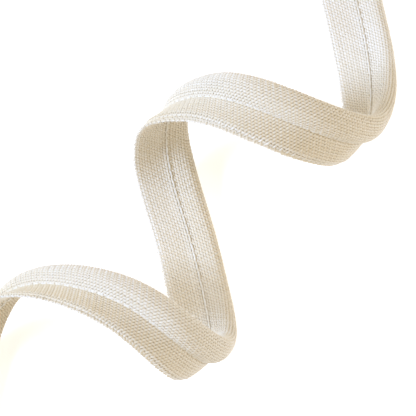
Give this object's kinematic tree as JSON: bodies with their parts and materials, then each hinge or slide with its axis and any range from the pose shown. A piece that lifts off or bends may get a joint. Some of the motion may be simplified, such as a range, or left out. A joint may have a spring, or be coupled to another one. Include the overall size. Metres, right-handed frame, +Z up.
{
  "type": "piping trim",
  "caption": "Length of linen piping trim lying in a loose open coil: a corded round edge, a sewn seam and a flange of folded cloth with raw edges, for sewing into a seam.",
  "frame": {"origin": "on the table under the middle of the bounding box", "axes": "+Z up from the table, +Y along the longest extent towards the far end of the trim, +X to the right"},
  "size_m": [0.122, 0.1302, 0.0475],
  "materials": {
    "linen": "matte undyed linen, plain weave, off-white"
  },
  "bodies": {
    "root": {"piping_trim": "linen"}
  },
  "joints": []
}
